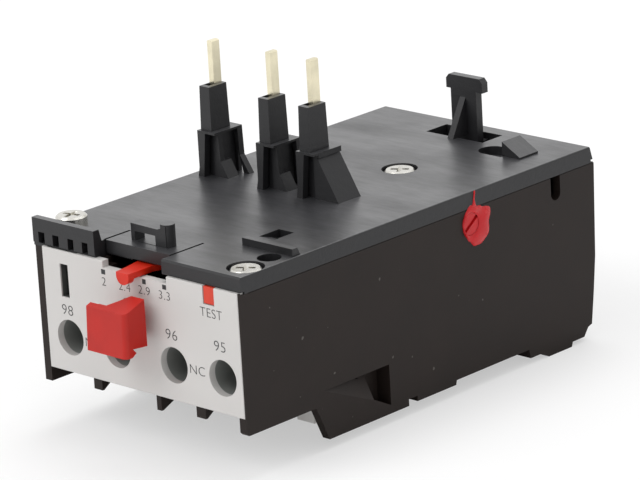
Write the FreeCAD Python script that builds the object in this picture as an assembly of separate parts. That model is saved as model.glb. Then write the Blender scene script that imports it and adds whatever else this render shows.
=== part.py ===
import FreeCAD, Part
import math
import os

# Thermal overload relay, 45 mm wide, that plugs under a mini contactor.
# Millimetres. The drawing frame has x = 0 on the left wall, y = 0 on the front
# face of the light plate and z = 0 on that plate's lower edge. save() moves
# every piece so that the frame's origin is the middle of the bottom.

# ---- housing -----------------------------------------------------------
WIDTH = 45.0
WALL = 1.5                # side walls
SEAM_Z = 19.6             # where cover and base meet
COVER_TOP = 22.3
COVER_FRONT = 0.5
BODY_FRONT = 1.35         # seat of the front plate
UPPER_BOTTOM = -2.7       # underside of the auxiliary terminal tier
UPPER_BACK = 16.0         # rear of that tier
FOOT_BOTTOM = -8.5
FOOT_BACK = 35.9
NOTCH_BACK = 37.9
NOTCH_TOP = -7.4
SOLE_Z = -8.3
SOLE_BACK = 47.0
BELLY_Z = -7.55
HEEL_FRONT = 64.8
HEEL_Z = -9.1
LUG_FRONT = 69.6
LUG_BACK = 75.3
LUG_Z = -10.1             # lowest line of the relay
TAIL_Z = -9.3
REAR_LOW = 80.56
REAR_LOW_Z = -7.57
REAR_TOP = 82.47
INNER_REAR = 79.2         # inside face of the rear wall

# ---- inside spaces -----------------------------------------------------
MECH_FRONT = 3.2
MECH_BACK = 35.8
MECH_FLOOR = 9.3
HEAT_FRONT = 37.2
HEAT_FLOOR = -5.5
BARRIER = 1.2             # walls between the heater chambers
BARRIER_X = (14.2, 22.9)
WINDOW_GAP = 0.3          # slider to guide

# ---- front plate -------------------------------------------------------
PLATE_LEFT = 2.15
PLATE_LIP = 0.25          # thin lip of the right wall beside the plate
COLLAR = 0.3              # wall of the plate's screw collars
PLATE_TOP = 19.9
PLATE_THICK = 1.3
HOLE_X = (7.3, 17.8, WIDTH - 14.8, WIDTH - 4.4)
HOLE_Z = 5.8
HOLE_R = 2.9
SLOT_X = (6.0, 7.8)
SLOT_Z = (12.35, 17.75)
FLAG_X = (3.8, 8.3)
FLAG_Y = (1.5, 2.3)
FLAG_Z = (12.0, 18.1)
FLAG_TRAVEL = 2.2
DIAL_X = (15.8, 29.7)
DIAL_SILL = 18.8
TEST_X = (WIDTH - 7.5, WIDTH - 5.35)
TEST_Z = 17.15
STEM_X = (20.2, 24.2)
STEM_Z = (9.45, 14.6)

# ---- auxiliary terminals ----------------------------------------------
AUX_NAMES = ("98", "97", "96", "95")
AUX_HALF = 2.9            # half width of a terminal pocket
AUX_FRONT = 7.0           # screw bore ends, pocket starts
AUX_TOP = 8.5
AUX_HEAD_R = 2.6
AUX_HEAD_Y = 9.05
AUX_HEAD_LEN = 1.8
AUX_SHANK_R = 1.7
AUX_SHANK_END = 15.4
AUX_STRIP_Y = 12.2
STRIP = 1.0               # contact strip thickness
SEAT_GAP = 0.05           # head to clamp, shank to hole
NC_FACE = 18.4            # front-facing side of the moving NC contacts
NO_FACE = 23.0            # rear side of the moving NO contacts
CONTACT_GAP = 2.25
RIVET_R = 1.1
TAIL_UP_Z = 14.25         # height of the contacts

# ---- load terminals ----------------------------------------------------
LOAD_X = (8.1, WIDTH / 2, WIDTH - 8.1)
LOAD_Z = -4.3
LOAD_POCKET_FRONT = 19.0
LOAD_POCKET_BACK = 35.0
LOAD_POCKET_TOP = 2.6
PARTITION = 1.6
PARTITION_X = ((WIDTH - PARTITION) / 2 - 7.0, (WIDTH - PARTITION) / 2 + 7.0)
LOAD_HEAD_R = 2.6
LOAD_HEAD_Y = 21.4
LOAD_HEAD_LEN = 1.9
LOAD_SHANK_R = 1.9
LOAD_SHANK_END = 29.0
LOAD_CLAMP = 1.2
LOAD_STRIP_Y = 24.9
LOAD_BAR_Z = 1.0
LOAD_BAR = 2.0            # half width of a load terminal's bar
PAD = 2.2                 # thicker right wall behind the side pocket
FACE_FRONT = 16.15        # grey lower face
FACE_BACK = 18.9
FACE_BOTTOM = -5.8

# ---- heaters -----------------------------------------------------------
STRIP_X = (8.0, 19.2, WIDTH - 9.6)
STRIP_Y = (42.5, 76.0)
STRIP_Z = (4.0, 9.5)
BIMETAL = 0.8
WIND_TURNS = 12
TRIP_Y = 43.2
SLIDER = 1.4
DIFF_Y = TRIP_Y + SLIDER + 0.6
WIND_Y = (DIFF_Y + SLIDER + 3.4, 71.0)
TRIP_TRAVEL = 1.8

# ---- line pins and their towers ---------------------------------------
PIN_X = (3.15, 16.1, 24.95)
PIN_WIDE = 1.05
PIN_Y = (37.75, 39.45)
PIN_TOP = 44.4
PIN_FOOT_Z = 12.0
PIN_FOOT = 1.2            # thickness of the foot
TOWER_X = (2.4, 15.5, 24.25)
TOWER_WIDE = 3.9
TOWER_Y = (35.0, 41.3)
TOWER_TOP = 30.0
SLEEVE_TOP = 37.3

# ---- trip mechanism ----------------------------------------------------
PIVOT = (WIDTH - 5.5, 33.0)
PIVOT_R = 1.0
RUN = 0.05                # running clearance of pivots
LEVER_Z = (10.0, 12.2)
LEVER_PIN_X = PIVOT[0] - 13.0
LEVER_PIN_R = 0.8
CARRIER_Z = (12.9, 15.4)
ADJ_PIVOT = (23.0, 18.0)
ADJ_PIN_R = 1.2
ADJ_Z = (18.95, 19.9)

# ---- reset button ------------------------------------------------------
CAP_X = (18.2, 26.7)
CAP_FRONT = -6.55
CAP_BACK = -2.0
RESET_END = 14.0
RESET_ROD_R = 1.5
RESET_MID = (22.7, 12.0)

# ---- cover screws ------------------------------------------------------
COVER_SCREWS = ((WIDTH - 3.1, 5.0, 0.0), (26.9, 55.8, 0.0), (3.85, 5.2, 1.8))
COVER_HEAD_R = 2.5
COVER_SHANK_R = 1.3
BOSS_R = 2.2

# ---- calibration -------------------------------------------------------
CAL_Y = 52.25
CAL_Z = 17.0
CAL_R = 1.9
LACQUER_PROUD = 0.5
SEAM_GROOVE = 0.12

# The middle of the bottom in the drawing frame.
ORIGIN = FreeCAD.Vector((WIDTH + LACQUER_PROUD) / 2, (CAP_FRONT + REAR_TOP) / 2, LUG_Z)


def vec(x, y, z):
    return FreeCAD.Vector(x, y, z)


def box(x0, x1, y0, y1, z0, z1):
    return Part.makeBox(x1 - x0, y1 - y0, z1 - z0, vec(x0, y0, z0))


def poly(points):
    return Part.Face(Part.makePolygon(points + [points[0]]))


def prism_x(outline, x0, x1):
    """Outline in (y, z), carried from x0 to x1."""
    face = poly([vec(x0, y, z) for y, z in outline])
    return face.extrude(vec(x1 - x0, 0, 0))


def prism_y(outline, y0, y1):
    """Outline in (x, z), carried from y0 to y1."""
    face = poly([vec(x, y0, z) for x, z in outline])
    return face.extrude(vec(0, y1 - y0, 0))


def prism_z(outline, z0, z1):
    """Outline in (x, y), carried from z0 to z1."""
    face = poly([vec(x, y, z0) for x, y in outline])
    return face.extrude(vec(0, 0, z1 - z0))


def rod_x(y, z, r, x0, x1):
    return Part.makeCylinder(r, x1 - x0, vec(x0, y, z), vec(1, 0, 0))


def rod_y(x, z, r, y0, y1):
    return Part.makeCylinder(r, y1 - y0, vec(x, y0, z), vec(0, 1, 0))


def rod_z(x, y, r, z0, z1):
    return Part.makeCylinder(r, z1 - z0, vec(x, y, z0), vec(0, 0, 1))


def join(pieces):
    return pieces[0].multiFuse(pieces[1:]).removeSplitter()


def soften(shape, radius, picks):
    """Round the edges for which picks(middle, edge) is true."""
    edges = []
    for edge in shape.Edges:
        middle = edge.valueAt((edge.FirstParameter + edge.LastParameter) / 2)
        if picks(middle, edge):
            edges.append(edge)
    return shape.makeFillet(radius, edges)


def save(name, shape):
    moved = shape.copy()
    moved.translate(-ORIGIN)
    moved.exportStep("parts/" + name + ".step")


# ---- base housing ------------------------------------------------------

def base_outline():
    """Side view of the base, from the top of the front face downwards."""
    return [
        (BODY_FRONT, SEAM_Z),
        (BODY_FRONT, UPPER_BOTTOM),
        (15.2, UPPER_BOTTOM),
        (17.75, FOOT_BOTTOM),
        (FOOT_BACK, FOOT_BOTTOM),
        (FOOT_BACK, NOTCH_TOP),
        (NOTCH_BACK, NOTCH_TOP),
        (NOTCH_BACK, SOLE_Z),
        (SOLE_BACK, SOLE_Z),
        (SOLE_BACK + 0.2, BELLY_Z),
        (HEEL_FRONT, BELLY_Z),
        (HEEL_FRONT + 0.3, HEEL_Z),
        (LUG_FRONT - 2.0, HEEL_Z),
        (LUG_FRONT, LUG_Z),
        (LUG_BACK, LUG_Z),
        (LUG_BACK + 0.3, TAIL_Z),
        (78.5, TAIL_Z),
        (79.6, REAR_LOW_Z - 0.3),
        (REAR_LOW, REAR_LOW_Z),
        (81.34, -2.0),
        (82.0, 3.8),
        (REAR_TOP, SEAM_Z - 0.6),
        (REAR_TOP, SEAM_Z),
    ]


def aux_pocket(x):
    bore = rod_y(x, HOLE_Z, HOLE_R + COLLAR + 0.03, BODY_FRONT - 0.1, AUX_FRONT + 0.1)
    pocket = box(x - AUX_HALF, x + AUX_HALF, AUX_FRONT, UPPER_BACK - 0.5,
                 UPPER_BOTTOM - 0.1, AUX_TOP)
    riser = box(x - 2.1, x + 2.1, AUX_STRIP_Y - 0.1, AUX_STRIP_Y + STRIP + 0.1,
                AUX_TOP - 0.1, MECH_FLOOR + 0.1)
    return [bore, pocket, riser]


def load_pockets():
    left = WALL
    cuts = []
    for edge in PARTITION_X + (WIDTH - WALL,):
        cuts.append(box(left, edge, LOAD_POCKET_FRONT, LOAD_POCKET_BACK,
                        LUG_Z - 1, LOAD_POCKET_TOP))
        left = edge + PARTITION
    # the insert's slot runs right across, and everything in front is open
    cuts.append(box(WALL, WIDTH - WALL, UPPER_BACK, LOAD_POCKET_FRONT + 0.01,
                    LUG_Z - 1, 2.1))
    cuts.append(box(WALL, WIDTH - WALL, 0, UPPER_BACK + 0.01, LUG_Z - 1, -0.05))
    for x in LOAD_X:
        cuts.append(box(x - 2.1, x + 2.1, LOAD_POCKET_BACK - 0.1, HEAT_FRONT + 0.1,
                        LOAD_BAR_Z - 0.05, LOAD_BAR_Z + STRIP + 0.05))
    return cuts


def side_pocket():
    """Pocket in the right wall: a ramp that starts flush, then a deep end."""
    top = -0.4
    ramp = [vec(WIDTH, 17.0, top), vec(WIDTH, 28.1, top), vec(WIDTH, 28.1, -5.2)]
    foot = vec(WIDTH - 2.5, 28.1, top)
    faces = [poly(ramp), poly([ramp[0], ramp[1], foot]), poly([ramp[1], ramp[2], foot]),
             poly([ramp[0], ramp[2], foot])]
    wedge = Part.Solid(Part.makeShell(faces))
    deep = prism_x([(28.0, top), (31.8, top), (31.8, -7.1), (28.0, -5.1)],
                   WIDTH - 2.8, WIDTH + 0.1)
    return [wedge, deep]


def base_housing():
    body = prism_x(base_outline(), 0, WIDTH)
    edge_strip = box(0, PLATE_LEFT - 0.05, 0.7, BODY_FRONT + 0.01, UPPER_BOTTOM, SEAM_Z)
    right_lip = prism_x([(0.1, SEAM_Z), (0.1, UPPER_BOTTOM + 0.4), (0.5, UPPER_BOTTOM),
                         (BODY_FRONT + 0.01, UPPER_BOTTOM), (BODY_FRONT + 0.01, SEAM_Z)],
                        WIDTH - PLATE_LIP, WIDTH)
    right_toe = prism_x([(0.1, -0.05), (0.1, UPPER_BOTTOM + 0.4), (0.5, UPPER_BOTTOM),
                         (BODY_FRONT + 0.01, UPPER_BOTTOM), (BODY_FRONT + 0.01, -0.05)],
                        WIDTH - WALL, WIDTH)
    lip_end = box(WIDTH - PLATE_LIP, WIDTH, 0.1, COVER_FRONT - 0.05, SEAM_Z - 0.1, PLATE_TOP)
    body = join([body, edge_strip, right_lip, right_toe, lip_end])

    partitions = []
    for x in PARTITION_X:
        partitions.append(prism_x([(20.0, 0), (20.0, LUG_Z + 1.5), (21.5, LUG_Z),
                                   (34.5, LUG_Z), (35.9, LUG_Z + 1.4), (35.9, 0)],
                                  x, x + PARTITION))
    pad = box(WIDTH - WALL - PAD, WIDTH - WALL + 0.1, 26.2, LOAD_POCKET_BACK + 0.1,
              FOOT_BOTTOM + 0.6, LOAD_POCKET_TOP + 0.1)
    cuts = [
        box(WALL, WIDTH - WALL, MECH_FRONT, MECH_BACK, MECH_FLOOR, SEAM_Z + 1),
        box(WALL, WIDTH - WALL, HEAT_FRONT, INNER_REAR, HEAT_FLOOR, SEAM_Z + 1),
        # windows in the front wall
        box(DIAL_X[0], DIAL_X[1], 0, MECH_FRONT + 0.1, 17.2, SEAM_Z + 1),
        box(14.6, 31.6, BODY_FRONT - 0.1, MECH_FRONT + 0.1, 18.7, SEAM_Z + 1),
        box(STEM_X[0] - 0.2, STEM_X[1] + 0.2, 0, MECH_FRONT + 0.1,
            STEM_Z[0] - 0.14, STEM_Z[1] + 0.2),
        box(TEST_X[0] - 0.15, TEST_X[1] + 0.15, 0, MECH_FRONT + 0.1, 16.3, SEAM_Z + 1),
        # sliding flag's recess behind the plate, and the window for its tail
        box(FLAG_X[0] - 0.15, FLAG_X[1] + FLAG_TRAVEL + 0.15, BODY_FRONT - 0.1, FLAG_Y[1] + 0.1,
            FLAG_Z[0] - 0.1, FLAG_Z[1] + 0.1),
        box(FLAG_X[1] - 1.0, FLAG_X[1] + FLAG_TRAVEL + 0.1, BODY_FRONT, MECH_FRONT + 0.1,
            14.1, 15.9),
        # lever window between the mechanism and the heaters
        box(PIVOT[0] - 1.5, PIVOT[0] + 2.5, MECH_BACK - 0.1, HEAT_FRONT + 0.1,
            MECH_FLOOR, 13.2),
        # window behind the lever's pin, which the carrier's end runs into
        box(LEVER_PIN_X - 2.0, LEVER_PIN_X + 2.4, MECH_BACK - 0.1, HEAT_FRONT + 0.1,
            MECH_FLOOR, CARRIER_Z[1] + 0.4),
    ]
    for side in (0, WIDTH - SEAM_GROOVE):
        cuts.append(box(side, side + SEAM_GROOVE, 2.0, REAR_TOP + 1,
                        SEAM_Z - SEAM_GROOVE, SEAM_Z + 1))
    for x in HOLE_X:
        cuts += aux_pocket(x)
    cuts += load_pockets()
    # cable slot at the rear of the right wall
    cuts.append(rod_x(72.8, 16.75, 1.15, WIDTH - WALL - 0.1, WIDTH + 0.1))
    cuts.append(box(WIDTH - WALL - 0.1, WIDTH + 0.1, 71.65, 73.95, 16.75, SEAM_Z + 1))
    body = body.cut(cuts)

    # ribs between the auxiliary terminals, seen below the plate
    ribs = []
    for x0, x1, depth, reach in ((11.45, 13.3, 1.85, 2.0), (25.35, 26.35, 2.5, 4.5),
                                 (WIDTH - 11.0, WIDTH - 9.05, 1.87, 2.0)):
        ribs.append(prism_x([(0.4, -0.05), (0.4, -depth), (0.8, -depth),
                             (0.8 + reach, -0.6), (0.8 + reach, 0.1), (BODY_FRONT + 0.1, 0.1),
                             (BODY_FRONT + 0.1, -0.05)], x0, x1))
    body = join([body, pad] + ribs + partitions).cut(side_pocket())

    inner = []
    for x in BARRIER_X:
        wall = box(x, x + BARRIER, HEAT_FRONT - 0.1, INNER_REAR + 0.1, HEAT_FLOOR - 0.1, 18.8)
        wall = wall.cut(box(x - 1, x + 3, TRIP_Y - WINDOW_GAP, DIFF_Y + SLIDER + WINDOW_GAP,
                            2.6, 13.4))
        wall = wall.cut(box(x - 1, x + 3, 37.0, 41.0, 11.6, 20))
        inner.append(wall)
    for x in STRIP_X:
        for side in (-1, 1):
            near = x + side * (BIMETAL / 2 + 0.02)
            far = x + side * (BIMETAL / 2 + 1.6)
            inner.append(box(min(near, far), max(near, far), 74.0, INNER_REAR + 0.1,
                             HEAT_FLOOR - 0.1, 11.0))
        inner.append(box(x - 2.0, x + 2.0, 76.05, INNER_REAR + 0.1, HEAT_FLOOR - 0.1, 11.0))
        inner.append(box(x - 2.0, x + 2.0, 74.0, 76.1, HEAT_FLOOR - 0.1, STRIP_Z[0] - 0.02))
    for x, y, proud in COVER_SCREWS:
        floor = MECH_FLOOR if y < MECH_BACK else HEAT_FLOOR
        inner.append(rod_z(x, y, BOSS_R, floor - 0.1, SEAM_Z))
    inner.append(rod_z(PIVOT[0], PIVOT[1], PIVOT_R, MECH_FLOOR - 0.1, 16.5))
    inner.append(rod_z(PIVOT[0], PIVOT[1], 2.4, MECH_FLOOR - 0.1, LEVER_Z[0] - 0.05))
    inner.append(box(WIDTH - WALL - 2.4, WIDTH - WALL + 0.1, CAL_Y - 2.6, CAL_Y + 2.6,
                     13.6, SEAM_Z))
    # guide rib for the reset rod
    rib = box(20.0, 25.6, 12.6, 13.6, MECH_FLOOR - 0.1, 15.2)
    rib = rib.cut(rod_y(RESET_MID[0], RESET_MID[1], RESET_ROD_R + RUN, 12, 14))
    inner.append(rib)
    # guide posts for the contact carrier's two arms
    for guide in (LEVER_PIN_X - 2.3, LEVER_PIN_X + 2.0):
        inner.append(box(guide, guide + 0.6, 27.0, 31.0, MECH_FLOOR - 0.1, 15.4))
    body = join([body] + inner)

    holes = []
    for x, y, proud in COVER_SCREWS:
        holes.append(rod_z(x, y, COVER_SHANK_R + 0.02, 9.9, SEAM_Z + 0.1))
    holes.append(rod_x(CAL_Y, CAL_Z, CAL_R + 0.1, WIDTH - 1.0, WIDTH + 0.1))
    holes.append(rod_x(CAL_Y, CAL_Z, 1.0 + RUN, WIDTH - WALL - 2.6, WIDTH))
    # ports for the auxiliary strips through the mechanism floor stay open
    for x in HOLE_X:
        holes.append(box(x - 2.1, x + 2.1, AUX_STRIP_Y - 0.1, AUX_STRIP_Y + STRIP + 0.1,
                         AUX_TOP - 0.1, MECH_FLOOR + 2.2))
    body = body.cut(holes)
    return body.removeSplitter()


# ---- cover -------------------------------------------------------------

def tower(x, gusset):
    """Guard round the foot of one line pin: core, thin lid and its ribs."""
    front, back = TOWER_Y
    top = TOWER_TOP
    base = COVER_TOP - 0.1
    right = x + TOWER_WIDE
    pieces = [
        box(x + 0.9, x + 2.9, front + 1.6, back - 0.9, base, top),
        box(x, right, front, back, top - 0.35, top),
        box(x, x + 0.6, front, back, base, top),
        box(x, right - 0.6, back - 0.7, back, base, top),
        # front left rib, narrower towards its foot
        prism_y([(x, top), (x + 1.75, top), (x + 0.95, base), (x - 0.35, base), (x, base + 1.6)],
                front, front + 1.2),
    ]
    if gusset:
        pieces.append(prism_y([(x + 2.6, 29.2), (right - 0.5, 29.2), (right + 3.75, base),
                               (x + 2.6, base)], front + 1.2, back))
        pieces.append(box(right - 0.6, right, front + 1.2, back, 29.1, top))
        return join(pieces)
    # middle rib that runs out into a low foot
    pieces.append(prism_y([(x + 2.0, top), (x + 3.2, top), (x + 3.5, base + 2.7),
                           (x + 5.1, base), (x + 2.0, base)], front + 1.4, front + 2.3))
    pieces.append(prism_y([(x + 2.8, base + 2.7), (x + 3.5, base + 2.7), (x + 5.1, base),
                           (x + 2.8, base)], front + 1.4, front + 3.8))
    # rear right rib, leaning out towards its foot
    pieces.append(prism_y([(x + 2.7, top), (right, top), (right + 0.2, 25.2), (right + 2.2, base),
                           (x + 4.8, base)], back - 1.1, back))
    return join(pieces)


def sleeve(x):
    left = x + 0.5
    right = x + 2.65
    foot = [vec(left - 0.12, 35.5, TOWER_TOP - 0.1), vec(right + 0.12, 35.5, TOWER_TOP - 0.1),
            vec(right + 0.12, 39.75, TOWER_TOP - 0.1), vec(left - 0.12, 39.75, TOWER_TOP - 0.1)]
    head = [vec(left, 35.65, SLEEVE_TOP), vec(right, 35.65, SLEEVE_TOP),
            vec(right, 39.62, SLEEVE_TOP), vec(left, 39.62, SLEEVE_TOP)]
    outer = Part.makeLoft([Part.makePolygon(foot + [foot[0]]),
                           Part.makePolygon(head + [head[0]])], True, True)
    return outer


def top_cover():
    front = COVER_FRONT
    outline = [
        (front, SEAM_Z), (front, COVER_TOP - 0.3), (front + 0.3, COVER_TOP),
        (81.6, COVER_TOP), (82.25, SEAM_Z + 0.5), (81.75, SEAM_Z + 0.5), (81.75, SEAM_Z),
    ]
    body = prism_x(outline, 0, WIDTH)
    body = soften(body, 0.25, lambda m, e: m.z > COVER_TOP - 0.01 and e.Length > 60)
    body = body.cut([
        # seat over the top edge of the plate
        box(PLATE_LEFT - 0.1, WIDTH + 1, 0, BODY_FRONT, SEAM_Z - 1, PLATE_TOP + 0.05),
        # opening over the dial and relief for its lever
        box(13.87, 28.35, 0, 2.7, SEAM_Z - 1, COVER_TOP + 1),
        box(13.9, 31.6, BODY_FRONT, 21.5, SEAM_Z - 1, 20.25),
        box(TEST_X[0] - 0.15, TEST_X[1] + 0.15, 0, 6.0, SEAM_Z - 1, 20.0),
        # hollow underside
        box(3.0, WIDTH - 3.0, 21.4, 34.0, SEAM_Z - 1, 20.7),
        box(3.0, 23.5, 42.5, 72.0, SEAM_Z - 1, 20.7),
        box(30.0, WIDTH - 3.0, 42.5, 72.0, SEAM_Z - 1, 20.7),
        # slits beside the tongue
        box(13.55, 14.05, 2.6, 8.2, SEAM_Z - 1, COVER_TOP + 1),
        box(27.95, 28.4, 1.0, 9.85, SEAM_Z - 1, COVER_TOP + 1),
        # front right: round hole, ramped recess and the two-way slot behind it
        rod_z(WIDTH - 3.3, 10.3, 1.9, SEAM_Z - 1, COVER_TOP + 1),
        prism_x([(17.1, COVER_TOP), (21.5, COVER_TOP - 1.4), (21.5, COVER_TOP + 1),
                 (17.1, COVER_TOP + 1)], WIDTH - 12.0, WIDTH - 8.8),
        box(WIDTH - 11.6, WIDTH - 9.0, 19.4, 21.2, SEAM_Z - 1, COVER_TOP + 1),
        # rear: opening round the hook, pit beside the wedge
        box(16.3, 28.6, 74.0, 79.0, SEAM_Z - 1, COVER_TOP + 1),
        box(WIDTH - 12.2, WIDTH - 8.4, 69.4, 74.0, COVER_TOP - 1.5, COVER_TOP + 1),
        rod_z(WIDTH - 12.2, 71.7, 2.3, COVER_TOP - 1.5, COVER_TOP + 1),
    ])
    adds = []
    for n, x in enumerate(TOWER_X):
        adds.append(tower(x, n == 2))
        adds.append(sleeve(x))
    # comb at the left end of the front edge
    comb = prism_x([(0.3, 20.2), (0.3, 24.2), (1.5, 24.2), (2.0, 22.2), (2.0, 20.2)],
                   0.05, 13.87)
    adds.append(comb)
    # teeth under the left part of the tongue
    for i in range(11):
        x = 14.3 + 0.5 * i
        adds.append(prism_y([(x, 20.3), (x + 0.25, 20.0), (x + 0.5, 20.3)], 2.7, 3.3))
    # seal eyelet on the tongue
    eyelet = prism_y([(17.6, 22.2), (25.2, 22.2), (25.2, 25.7), (23.4, 25.0), (17.6, 25.1)], 4.8, 6.9)
    eyelet = eyelet.fuse(rod_z(24.6, 5.95, 1.15, 22.2, 25.9))
    eyelet = eyelet.cut(box(18.4, 22.9, 4, 7.2, 22.35, 23.9))
    adds.append(eyelet)
    # stiffening rib
    adds.append(prism_x([(12.5, 22.2), (12.5, 23.5), (13.6, 23.5), (14.2, 22.2)],
                        WIDTH - 11.1, WIDTH - 0.5))
    # rear hook
    adds.append(prism_y([(20.0, SEAM_Z), (20.0, 29.75), (19.07, 29.75), (19.07, 31.4),
                         (19.7, 32.1), (26.3, 32.1), (26.9, 31.4), (26.9, 29.75),
                         (25.5, 29.75), (25.5, SEAM_Z)], 76.4, 77.8))
    adds.append(prism_x([(72.8, COVER_TOP - 0.1), (76.5, 28.8), (76.5, COVER_TOP - 0.1)],
                        22.0, 23.2))
    # bridge that carries the stem and the gusset across the opening
    adds.append(box(20.0, 25.5, 73.9, 79.1, SEAM_Z + 0.3, 21.2))
    # wedge hook
    adds.append(prism_y([(WIDTH - 8.6, 22.2), (WIDTH - 8.6, 24.7), (WIDTH - 4.9, 22.6),
                         (WIDTH - 4.9, 22.2)], 70.0, 74.5))
    # pivot of the setting lever
    adds.append(rod_z(ADJ_PIVOT[0], ADJ_PIVOT[1], ADJ_PIN_R, 16.2, 20.5))
    body = join([body] + adds)
    cuts = []
    for x0, x1 in ((1.3, 2.7), (4.5, 5.9), (7.9, 9.2), (11.1, 12.4)):
        cuts.append(box(x0, x1, 0, 3.4, 20.1, 22.0))
    for n, x in enumerate(TOWER_X):
        pin = PIN_X[n]
        cuts.append(box(pin - 0.06, pin + PIN_WIDE + 0.06, PIN_Y[0] - 0.06, PIN_Y[1] + 0.06,
                        SEAM_Z - 1, SLEEVE_TOP + 1))
        cuts.append(box(pin - 0.06, pin + PIN_WIDE + 0.06, 36.5, PIN_Y[0],
                        31.0, SLEEVE_TOP + 1))
    for x, y, proud in COVER_SCREWS:
        cuts.append(rod_z(x, y, COVER_SHANK_R + 0.3, SEAM_Z - 1, COVER_TOP + 1))
        if proud == 0:
            cuts.append(rod_z(x, y, COVER_HEAD_R + 0.45, 20.6, COVER_TOP + 1))
    body = body.cut(cuts)
    return body.removeSplitter()


# ---- plate and grey lower face ----------------------------------------

def front_plate():
    plate = box(PLATE_LEFT, WIDTH - PLATE_LIP - 0.03, 0, PLATE_THICK, 0, PLATE_TOP)
    plate = soften(plate, 0.2, lambda m, e: m.y < 0.01 and e.Length > 5)
    collars = []
    for x in HOLE_X:
        collars.append(rod_y(x, HOLE_Z, HOLE_R + COLLAR, PLATE_THICK - 0.1, AUX_FRONT))
    plate = join([plate] + collars)
    cuts = []
    for x in HOLE_X:
        cuts.append(rod_y(x, HOLE_Z, HOLE_R, -1, AUX_FRONT + 1))
    cuts.append(box(DIAL_X[0], DIAL_X[1], -1, 3, DIAL_SILL, 21))
    cuts.append(box(SLOT_X[0], SLOT_X[1], -1, 3, SLOT_Z[0], SLOT_Z[1]))
    cuts.append(box(TEST_X[0] - 0.12, TEST_X[1] + 0.12, -1, 3, TEST_Z - 0.12, 21))
    cuts.append(box(STEM_X[0] - 0.15, STEM_X[1] + 0.15, -1, 3,
                    STEM_Z[0] - 0.1, STEM_Z[1] + 0.15))
    return plate.cut(cuts)


def terminal_front():
    left = WALL + 0.05
    right = WIDTH - WALL - 0.05
    face = box(left, right, FACE_FRONT, FACE_BACK, FACE_BOTTOM, 2.0)
    cuts = [box(left - 1, right + 1, FACE_FRONT + 1.4, FACE_BACK + 1, FACE_BOTTOM - 1, 0.6)]
    for x in LOAD_X:
        cuts.append(rod_y(x, LOAD_Z, LOAD_HEAD_R + 0.3, 15, 20))
        cuts.append(box(x - LOAD_HEAD_R - 0.3, x + LOAD_HEAD_R + 0.3, 15, 20, -7, LOAD_Z))
    return face.cut(cuts)


# ---- screws ------------------------------------------------------------

def cross_recess(depth, reach):
    """Cross recess along -z from the origin: two tapered wings."""
    wings = []
    for angle in (0, 90):
        wing = prism_y([(-reach, 0.1), (reach, 0.1), (reach * 0.55, -depth), (-reach * 0.55, -depth)],
                       -0.35, 0.35)
        wing.rotate(vec(0, 0, 0), vec(0, 0, 1), angle)
        wings.append(wing)
    return wings[0].fuse(wings[1])


def screw(head_r, head_len, shank_r, length, crown):
    """Screw with its head's top at the origin, pointing along -z."""
    profile = [vec(0, 0, 0), vec(head_r - crown, 0, 0), vec(head_r, 0, -crown),
               vec(head_r, 0, -head_len), vec(shank_r, 0, -head_len),
               vec(shank_r, 0, -length + shank_r * 0.5), vec(shank_r * 0.5, 0, -length),
               vec(0, 0, -length)]
    body = poly(profile).revolve(vec(0, 0, 0), vec(0, 0, 1), 360)
    return body.cut(cross_recess(head_len * 0.85, head_r * 0.62))


def cover_screws():
    group = []
    for x, y, proud in COVER_SCREWS:
        top = COVER_TOP - 0.1 + proud
        seat = 20.6 if proud == 0 else COVER_TOP
        body = screw(COVER_HEAD_R, top - seat, COVER_SHANK_R, top - 10.4, 0.3)
        body.rotate(vec(0, 0, 0), vec(0, 0, 1), 33 if proud == 0 else 12)
        body.translate(vec(x, y, top))
        group.append(body)
    return Part.makeCompound(group)


def terminal_screw(x, z, head_y, head_len, head_r, shank_r, shank_end, turn):
    body = screw(head_r, head_len, shank_r, shank_end - head_y, 0.25)
    slot = box(-head_r, head_r, -0.3, 0.3, -0.9, 1)
    body = body.cut(slot)
    body.rotate(vec(0, 0, 0), vec(0, 0, 1), turn)
    body.rotate(vec(0, 0, 0), vec(1, 0, 0), 90)
    body.translate(vec(x, head_y, z))
    return body


def calibration_screw():
    head = rod_x(CAL_Y, CAL_Z, CAL_R, WIDTH - 0.95, WIDTH - 0.05)
    shank = rod_x(CAL_Y, CAL_Z, 1.0, WIDTH - 6.0, WIDTH - 0.9)
    slot = box(WIDTH - 0.5, WIDTH + 1, CAL_Y - 3, CAL_Y + 3, CAL_Z - 0.3, CAL_Z + 0.3)
    slot.rotate(vec(0, CAL_Y, CAL_Z), vec(1, 0, 0), 35)
    return head.fuse(shank).cut(slot).removeSplitter()


def sealing_lacquer():
    """Hard lacquer run round the screw's rim and on to the wall."""
    rim = rod_x(CAL_Y + 0.3, CAL_Z, CAL_R + 1.1, WIDTH + 0.02, WIDTH + 0.3)
    run = rod_x(CAL_Y + 1.9, CAL_Z - 0.6, CAL_R + 0.7, WIDTH + 0.02, WIDTH + 0.3)
    drip = rod_x(CAL_Y + 0.9, CAL_Z - 2.3, 1.3, WIDTH + 0.02, WIDTH + LACQUER_PROUD)
    drop = rod_x(CAL_Y + 4.0, CAL_Z + 0.4, 0.9, WIDTH + 0.02, WIDTH + 0.4)
    film = join([rim, run, drip, drop])
    return film.cut(rod_x(CAL_Y, CAL_Z, CAL_R - 0.1, WIDTH, WIDTH + 1))


# ---- contacts ----------------------------------------------------------

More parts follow.
